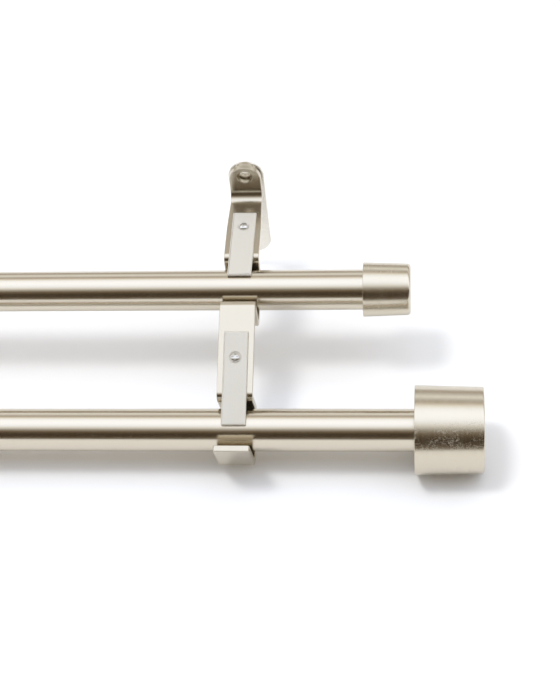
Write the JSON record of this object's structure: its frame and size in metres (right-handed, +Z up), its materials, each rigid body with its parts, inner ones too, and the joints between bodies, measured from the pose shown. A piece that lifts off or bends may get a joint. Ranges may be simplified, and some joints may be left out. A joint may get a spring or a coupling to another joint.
{
  "type": "double curtain pole",
  "caption": "Double telescoping curtain pole in satin nickel with drum end caps, carried by folded strap wall brackets.",
  "frame": {"origin": "on the wall face of the right bracket's plate, level with the top of its arm's shelf", "axes": "+X along the poles towards the right end caps, +Y into the wall, +Z up"},
  "size_m": [0.711, 0.1403, 0.0703],
  "materials": {
    "tube_nickel": "satin",
    "cap_nickel": "brushed",
    "bracket_nickel": "satin",
    "clip_nickel": "satin",
    "screw_steel": "plated",
    "plug_plastic": "moulded"
  },
  "bodies": {
    "brackets_and_outer_tubes": {"right_wall_plate": "clip_nickel", "right_spacer": "bracket_nickel", "right_arm": "bracket_nickel", "right_back_clip": "clip_nickel", "right_back_clip_screw": "screw_steel", "right_front_clip": "clip_nickel", "right_front_clip_screw": "screw_steel", "left_wall_plate": "clip_nickel", "left_spacer": "bracket_nickel", "left_arm": "bracket_nickel", "left_back_clip": "clip_nickel", "left_back_clip_screw": "screw_steel", "left_front_clip": "clip_nickel", "left_front_clip_screw": "screw_steel", "back_outer_tube": "tube_nickel", "back_right_cap": "cap_nickel", "back_right_plug": "plug_plastic", "front_outer_tube": "tube_nickel", "front_right_cap": "cap_nickel", "front_right_plug": "plug_plastic"},
    "back_sliding_pole": {"back_inner_tube": "tube_nickel", "back_left_cap": "cap_nickel", "back_left_plug": "plug_plastic"},
    "front_sliding_pole": {"front_inner_tube": "tube_nickel", "front_left_cap": "cap_nickel", "front_left_plug": "plug_plastic"}
  },
  "joints": [
    {"name": "back_pole_extend", "type": "slide", "parent": "brackets_and_outer_tubes", "child": "back_sliding_pole", "axis": [-1, 0, 0], "range_m": [0, 0.508]},
    {"name": "front_pole_extend", "type": "slide", "parent": "brackets_and_outer_tubes", "child": "front_sliding_pole", "axis": [-1, 0, 0], "range_m": [0, 0.508]}
  ]
}
